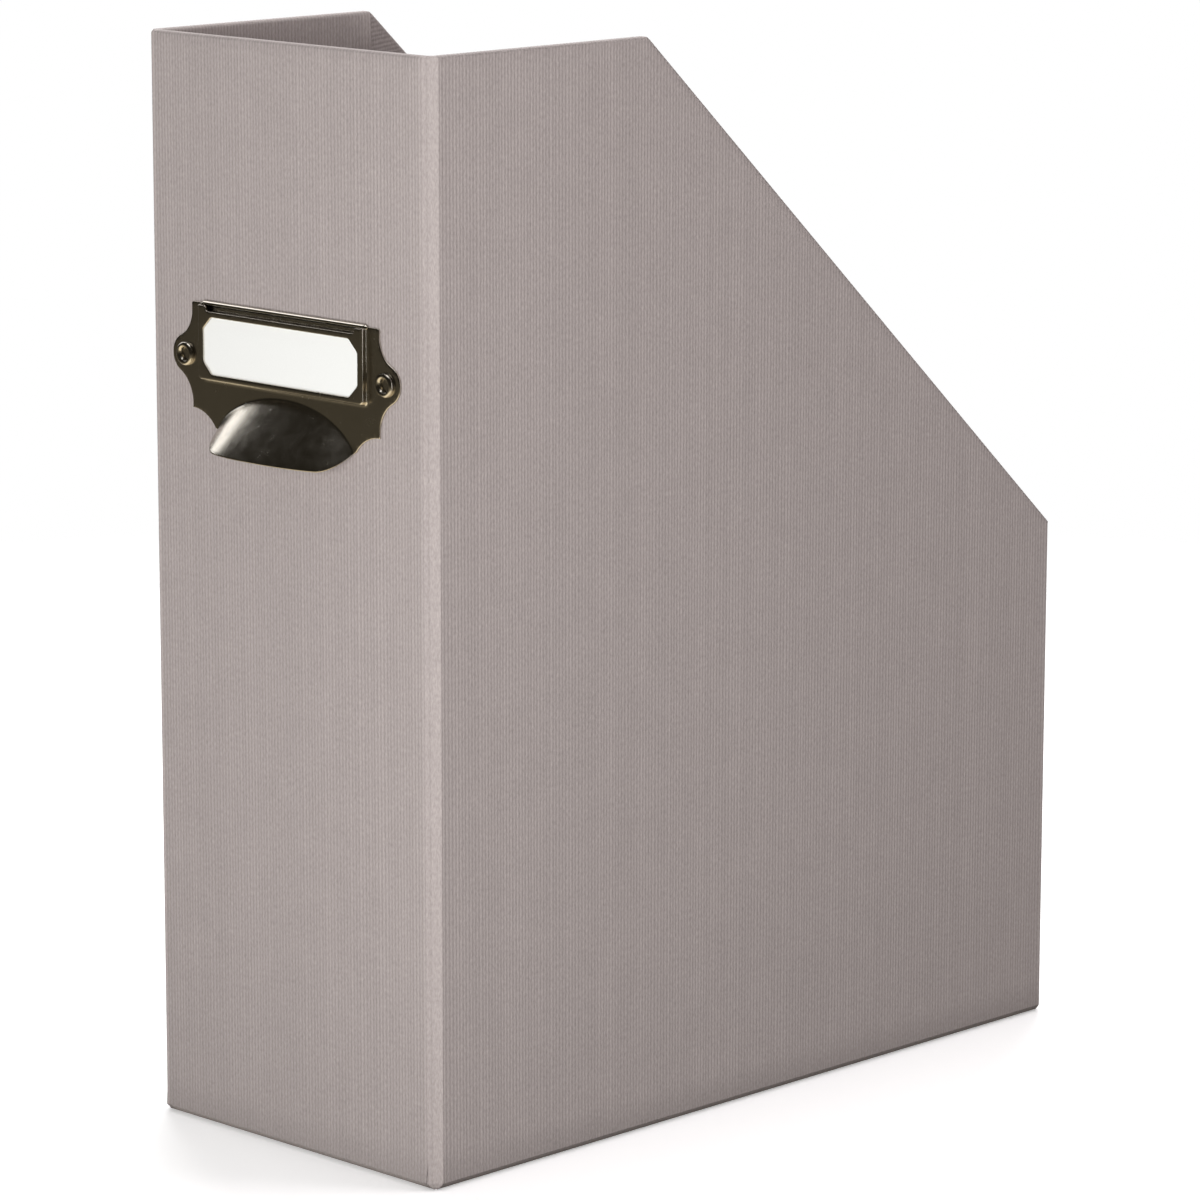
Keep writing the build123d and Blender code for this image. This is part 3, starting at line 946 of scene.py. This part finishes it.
def rivet_profile():
    """Section of a hollow rivet as (radius, proud): flared head, bore and clinched tail."""
    back = FACE - box_mm("rivet_washer_right")[1][1] - 0.02
    head = [(RIVET_RIM - 0.02, SHEET), (RIVET_RIM, SHEET + 0.2)]
    head += arc((2.55, SHEET + 0.45), 0.85, 10, 85, 3)
    head += [(2.3, SHEET + 1.24), (2.05, SHEET + 1.05), (1.75, SHEET + 0.6)]
    head += [(1.5, SHEET + 0.1), (1.35, SHEET - 0.5)]
    tail = [(BORE, -0.5), (BORE, 0.5 - RIVET_TAIL), (1.5, 0.1 - RIVET_TAIL), (1.9, -RIVET_TAIL)]
    tail += [(2.6, 0.05 - RIVET_TAIL), (2.88, 0.3 - RIVET_TAIL), (2.8, back), (SHANK, back)]
    return head + tail + [(SHANK, SHEET)]


def washer_profile(node):
    """Section of a flat washer with eased edges as (radius, proud)."""
    low, high = box_mm(node)
    front, back = FACE - low[1], FACE - high[1]
    rim, hole, ease = 4.5, 1.9, 0.1
    upper = [(hole, front - ease), (hole + ease, front), (rim - ease, front), (rim, front - ease)]
    lower = [(rim, back + ease), (rim - ease, back), (hole + ease, back), (hole, back + ease)]
    return upper + lower


def turned_piece(node, profile, side, material):
    """Turned piece on one rivet's line, in the place of a CAD node."""
    points, faces = lathe(profile, (side * RIVET_X, FACE, RIVET_Z))
    return new_piece(node + "_turned", points, faces, material, "polished_nickel", node)


def rivets(material, steel):
    """Both rivets, and their washers inside the file."""
    for side_name, side in (("left", -1), ("right", 1)):
        turned_piece(f"rivet_{side_name}", rivet_profile(), side, material)
        washer = f"rivet_washer_{side_name}"
        flat_areas_first(turned_piece(washer, washer_profile(washer), side, steel))


def label_card(material):
    """Blank card in the pocket."""
    loop = rounded_rectangle(card_high[0], card_low[2], card_high[2], CARD_CORNER)
    points, faces = slab(loop, FACE - card_high[1], card_high[1] - card_low[1], CARD_EASE)
    card = new_piece("label_card_sheet", points, faces, material, "card", "label_card", "card")
    flat_areas_first(card)


# --- Materials


class Tree:
    """Short names for building a node tree."""

    def __init__(self, tree):
        self.tree = tree

    def link(self, source, target):
        self.tree.links.new(source, target)

    def feed(self, socket, value):
        """Gives a socket another one's output, a colour as a tuple, or a plain value."""
        if isinstance(value, bpy.types.NodeSocket):
            self.link(value, socket)
        else:
            socket.default_value = (*value, 1) if isinstance(value, tuple) else value

    def node(self, kind, inputs=None, **settings):
        """New node with its inputs fed, by name or by number."""
        made = self.tree.nodes.new(kind)
        for key, value in settings.items():
            setattr(made, key, value)
        for key, value in (inputs or {}).items():
            self.feed(made.inputs[key], value)
        return made

    def span(self, source, low, high, source_low=0.0, source_high=1.0):
        """The source's range taken to another range."""
        limits = {"From Min": source_low, "From Max": source_high, "To Min": low, "To Max": high}
        return self.node("ShaderNodeMapRange", {"Value": source, **limits}).outputs["Result"]

    def maths(self, operation, a, b):
        return self.node("ShaderNodeMath", {0: a, 1: b}, operation=operation).outputs["Value"]

    def blend(self, factor, a, b):
        """Shader a where the factor is 0, and b where it is 1."""
        return self.node("ShaderNodeMixShader", {0: factor, 1: a, 2: b}).outputs[0]


class Nodes(Tree):
    """One material's nodes."""

    def __init__(self, name):
        self.material = bpy.data.materials.new(name)
        self.material.use_nodes = True
        super().__init__(self.material.node_tree)
        self.shader = self.tree.nodes["Principled BSDF"]
        self.place = self.node("ShaderNodeTexCoord").outputs["Object"]

    def noise(self, size, detail=3.0, stretch=(1, 1, 1), roughness=0.5):
        """Noise with features of about size millimetres, longer along an axis where stretch is above 1."""
        scale = [1 / s for s in stretch]
        place = self.node("ShaderNodeMapping", {"Scale": scale, "Vector": self.place}).outputs["Vector"]
        inputs = {"Scale": 1 / (size * MM), "Detail": detail, "Roughness": roughness, "Vector": place}
        return self.node("ShaderNodeTexNoise", inputs).outputs["Fac"]

    def attribute(self, name):
        return self.node("ShaderNodeAttribute", attribute_name=name).outputs["Fac"]

    def mix(self, factor, a, b):
        """Colour between colours a and b."""
        inputs = {"Factor": factor, 6: a, 7: b}
        return self.node("ShaderNodeMix", inputs, data_type="RGBA").outputs[2]

    def scaled(self, colour, amount):
        """A colour made lighter or darker by a number that varies over the surface."""
        inputs = {0: colour, "Scale": amount}
        return self.node("ShaderNodeVectorMath", inputs, operation="SCALE").outputs[0]

    def bump(self, height, depth, strength=1.0):
        """Relief of depth millimetres."""
        inputs = {"Strength": strength, "Distance": depth * MM, "Height": height}
        relief = self.node("ShaderNodeBump", inputs)
        self.link(relief.outputs["Normal"], self.shader.inputs["Normal"])

    def finish(self, colour, roughness, **fixed):
        self.link(colour, self.shader.inputs["Base Color"])
        self.link(roughness, self.shader.inputs["Roughness"])
        for key, value in fixed.items():
            self.shader.inputs[key.replace("_", " ")].default_value = value
        return self.material


def tinted(colour, amount):
    return tuple(c * amount for c in colour)


PAPER_COLOUR = (0.37, 0.325, 0.313)


def ribbed_paper():
    """Grey-brown ribbed paper: grooves painted darker as painted shade, fine fibres, painted light and
    shade over the folds and foot, and bevel strips lighter from burnish and painted light.
    """
    n = Nodes("ribbed_paper")
    tone = n.attribute("tone")
    # grooves painted darker and crests lighter: painted shade and light on top of the ribs' real relief
    colour = n.mix(n.attribute("rib"), tinted(PAPER_COLOUR, 0.83), tinted(PAPER_COLOUR, 1.12))
    fibres = n.span(n.noise(0.4, 4, (1, 1, 3.0)), 0.86, 1.14, 0.3, 0.7)
    clouds = n.span(n.noise(9, 3), 0.98, 1.02, 0.3, 0.7)
    # the tone scales the colour: painted light and shade, and on the bevel strips burnish as well
    shade = n.span(tone, 0.75, 1.25, -1, 1)
    colour = n.scaled(colour, n.maths("MULTIPLY", shade, n.maths("MULTIPLY", fibres, clouds)))
    n.bump(n.noise(0.25, 5, (1, 1, 2.5), 0.65), 0.06, 0.6)
    roughness = n.span(tone, 0.88, 0.7)
    return n.finish(colour, roughness, Specular_IOR_Level=0.25)


def base_paper():
    """Plain darker paper under the base."""
    n = Nodes("base_paper")
    colour = n.mix(n.noise(0.5, 5), (0.27, 0.236, 0.228), (0.33, 0.288, 0.276))
    n.bump(n.noise(0.3, 5, roughness=0.7), 0.05, 0.6)
    return n.finish(colour, n.span(n.noise(2), 0.8, 0.92), Specular_IOR_Level=0.25)


def greyboard():
    """Recycled board with dark and light specks."""
    n = Nodes("greyboard")
    colour = n.mix(n.noise(1.2, 6, roughness=0.7), (0.20, 0.186, 0.165), (0.34, 0.314, 0.275))
    n.bump(n.noise(0.4, 5, roughness=0.7), 0.08, 0.7)
    return n.finish(colour, n.span(n.noise(3), 0.85, 0.97), Specular_IOR_Level=0.2)


def gummed_paper():
    """Brown gummed tape with long fibres."""
    n = Nodes("gummed_paper")
    colour = n.mix(n.noise(0.6, 5, (1, 1, 5)), (0.38, 0.275, 0.165), (0.50, 0.37, 0.225))
    n.bump(n.noise(0.4, 4, (1, 1, 4)), 0.04, 0.5)
    return n.finish(colour, n.span(n.noise(2), 0.55, 0.7), Specular_IOR_Level=0.3)


def polished_nickel():
    """Satin nickel with a mottled haze, rubbed brighter on the bead."""
    n = Nodes("polished_nickel")
    colour = n.mix(n.noise(6, 4), (0.56, 0.52, 0.455), (0.63, 0.59, 0.53))
    haze = n.span(n.noise(3, 5, roughness=0.65), 0.17, 0.28, 0.3, 0.7)
    n.bump(n.noise(1.5, 3), 0.003, 0.2)
    rubbed = n.span(n.attribute("polish"), 0, -0.14)
    return n.finish(colour, n.maths("ADD", haze, rubbed), Metallic=1.0)


def zinc_steel():
    """Duller plated steel of the washers."""
    n = Nodes("zinc_steel")
    colour = n.mix(n.noise(1.5, 5), (0.42, 0.42, 0.41), (0.58, 0.575, 0.56))
    n.bump(n.noise(0.3, 4), 0.01, 0.5)
    return n.finish(colour, n.span(n.noise(1, 4), 0.3, 0.45), Metallic=1.0)


def card_stock():
    """Smooth white card with a trace of fibre."""
    n = Nodes("card_stock")
    colour = n.mix(n.noise(0.3, 5), (0.78, 0.78, 0.755), (0.84, 0.84, 0.815))
    n.bump(n.noise(0.2, 4), 0.01, 0.4)
    return n.finish(colour, n.span(n.noise(2), 0.6, 0.72), Specular_IOR_Level=0.4)


def floor_material(fade_from, fade_to):
    """Pale floor that fades out into the backdrop far from the file."""
    n = Nodes("pale_floor")
    n.finish(n.mix(n.noise(60), (0.93, 0.93, 0.93), (0.95, 0.95, 0.95)), n.span(n.noise(40), 0.9, 1.0))
    n.feed(n.shader.inputs["Emission Color"], WHITE)
    n.feed(n.shader.inputs["Emission Strength"], FLOOR_GLOW)
    distance = n.node("ShaderNodeVectorMath", {0: n.place}, operation="LENGTH").outputs["Value"]
    fade = n.span(distance, 0, 1, fade_from, fade_to)
    clear = n.node("ShaderNodeBsdfTransparent").outputs[0]
    faded = n.blend(fade, n.shader.outputs[0], clear)
    n.link(faded, n.tree.nodes["Material Output"].inputs["Surface"])
    return n.material


# --- Stage


WHITE = (1, 1, 1)
BACKDROP = 1.0  # strengths of what the camera sees, what lights the file, and what the metal mirrors
AMBIENT = 0.145
MIRRORED_ABOVE = 0.02
MIRRORED_BELOW = 0.16
FLOOR_RADIUS = 0.9
FLOOR_GLOW = 0.25
SENSOR = 36.0
LENS = 159.11
CAMERA_PLACE = (1.076556, -1.107717, 0.451072)
CAMERA_TURN = (44.3854, 11.3533, 0.0698)  # yaw, pitch down and roll
# name, azimuth, elevation, distance, size, power, colour; azimuth 0 is in front and 90 on the right
LIGHTS = [
    ("key", 32, 2, 1.2, (0.6, 0.6), 15.8, WHITE),
    ("top", 20, 80, 1.6, (1.0, 0.7), 5, WHITE),
    ("over_back", 180, 78, 1.6, (1.0, 0.7), 8, WHITE),
    ("left_panel", -85, 38, 1.6, (0.42, 1.7), 4.4, WHITE),
    ("right_top", 126, 40, 1.6, (0.6, 1.0), 8.2, (1, 0.93, 0.955)),
    ("right_gloss", 92, 0, 1.6, (0.4, 1.4), 3, WHITE),
    ("back_fill", 225, 35, 2.4, (1.4, 1.4), 42, WHITE),
]


def floor(radius, sides=96):
    """Round floor patch under the file."""
    mesh = bpy.data.meshes.new("floor")
    mesh.from_pydata([(x, y, 0) for x, y in arc((0, 0), radius, 0, 360, sides)[:-1]], [], [range(sides)])
    mesh.materials.append(floor_material(0.45 * radius, 0.98 * radius))
    made = bpy.data.objects.new("floor", mesh)
    bpy.context.scene.collection.objects.link(made)
    made.visible_diffuse = False
    made.visible_glossy = False


def world():
    """White backdrop to the camera, dim surroundings, and a dark studio in what the metal mirrors."""
    made = bpy.data.worlds.new("studio")
    bpy.context.scene.world = made
    made.use_nodes = True
    n = Tree(made.node_tree)
    seen = n.tree.nodes["Background"]
    n.feed(seen.inputs["Color"], WHITE)
    n.feed(seen.inputs["Strength"], BACKDROP)
    plain = {"Color": (1, 0.985, 0.965), "Strength": AMBIENT}
    unseen = n.node("ShaderNodeBackground", plain).outputs[0]
    direction = n.node("ShaderNodeTexCoord").outputs["Generated"]
    height = n.node("ShaderNodeSeparateXYZ", {0: direction}).outputs["Z"]
    level = n.span(height, MIRRORED_BELOW, MIRRORED_ABOVE, -0.35, -0.05)
    below = n.span(height, 7 * MIRRORED_BELOW, 0, -0.7, -0.55)
    studio = {"Color": (1, 0.87, 0.62), "Strength": n.maths("ADD", level, below)}
    mirrored_studio = n.node("ShaderNodeBackground", studio).outputs[0]
    path = n.node("ShaderNodeLightPath")
    around = n.blend(path.outputs["Is Glossy Ray"], unseen, mirrored_studio)
    whole = n.blend(path.outputs["Is Camera Ray"], around, seen.outputs[0])
    n.link(whole, n.tree.nodes["World Output"].inputs["Surface"])


def soft_light(name, azimuth, elevation, distance, size, power, colour):
    """Rectangular soft light that faces the file's middle."""
    data = bpy.data.lights.new(name, "AREA")
    data.shape = "RECTANGLE"
    data.size, data.size_y = size
    data.energy = power
    data.color = colour
    light = bpy.data.objects.new(name, data)
    bpy.context.scene.collection.objects.link(light)
    a, e = math.radians(azimuth), math.radians(elevation)
    back = Vector((math.sin(a) * math.cos(e), -math.cos(a) * math.cos(e), math.sin(e)))
    light.location = (Vector(cad_low) + Vector(cad_high)) / 2 + back * distance
    light.rotation_mode = "QUATERNION"
    light.rotation_quaternion = back.to_track_quat("Z", "Y")
    return light


def camera():
    """Camera at the photograph's place: in front of the file and to its right, looking slightly down."""
    data = bpy.data.cameras.new("camera")
    data.sensor_width = SENSOR
    data.lens = LENS
    made = bpy.data.objects.new("camera", data)
    bpy.context.scene.collection.objects.link(made)
    yaw, pitch, roll = (math.radians(a) for a in CAMERA_TURN)
    level = math.cos(pitch)
    forward = Vector((-math.sin(yaw) * level, math.cos(yaw) * level, -math.sin(pitch)))
    turn = forward.to_track_quat("-Z", "Y")
    made.location = CAMERA_PLACE
    made.rotation_mode = "QUATERNION"
    made.rotation_quaternion = turn @ Quaternion((0, 0, 1), roll)
    bpy.context.scene.camera = made


# --- Put it together

paper = ribbed_paper()
nickel = polished_nickel()
steel = zinc_steel()

cover_sheet(paper)
slant_flap_end(paper)
lining("lining_right", side_lining(1), paper)
lining("lining_left", side_lining(-1), paper)
lining("lining_front", cross_lining(-1, TOP), paper)
lining("lining_back", cross_lining(1, BACK_TOP), paper)
lining("lining_base", base_lining(), paper)
label_holder(nickel)
rivets(nickel, steel)
label_card(card_stock())

board_material = greyboard()
stay_material = gummed_paper()
base_material = base_paper()
for node_name, node in frame["nodes"].items():
    if node.hide_render:
        continue
    made, slot = base_material, "base_paper"
    if node_name.endswith("_board"):
        made, slot = board_material, "greyboard"
    elif "_stay_" in node_name:
        made, slot = stay_material, "gummed_paper"
    node.data.materials.clear()
    node.data.materials.append(made)

floor(FLOOR_RADIUS)
world()
lights = {light[0]: soft_light(*light) for light in LIGHTS}
lights["key"].visible_glossy = False
lights["right_gloss"].visible_diffuse = False
camera()
bpy.context.scene.view_settings.view_transform = "Standard"

bpy.context.view_layer.update()
